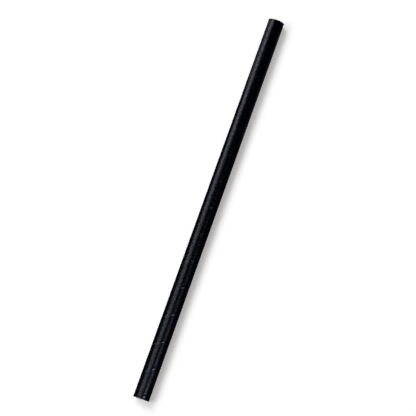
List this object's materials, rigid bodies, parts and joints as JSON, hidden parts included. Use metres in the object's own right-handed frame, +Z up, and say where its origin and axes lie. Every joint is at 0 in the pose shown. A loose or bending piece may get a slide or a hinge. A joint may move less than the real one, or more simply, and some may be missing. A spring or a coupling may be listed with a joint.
{
  "type": "paper drinking straw",
  "caption": "Bare, straight spiral-wound paper drinking straw with square-cut open ends and a helical butt seam, lying on its side.",
  "frame": {"origin": "on the surface the straw lies on, directly under the middle of its length", "axes": "+X along the straw's axis, towards the end that is at the upper right of the picture; +Z up"},
  "size_m": [0.197, 0.008, 0.008],
  "materials": {
    "black_paper": "dyed through, smooth calendered face with a satin sheen"
  },
  "bodies": {
    "root": {"straw_tube": "black_paper"}
  },
  "joints": []
}
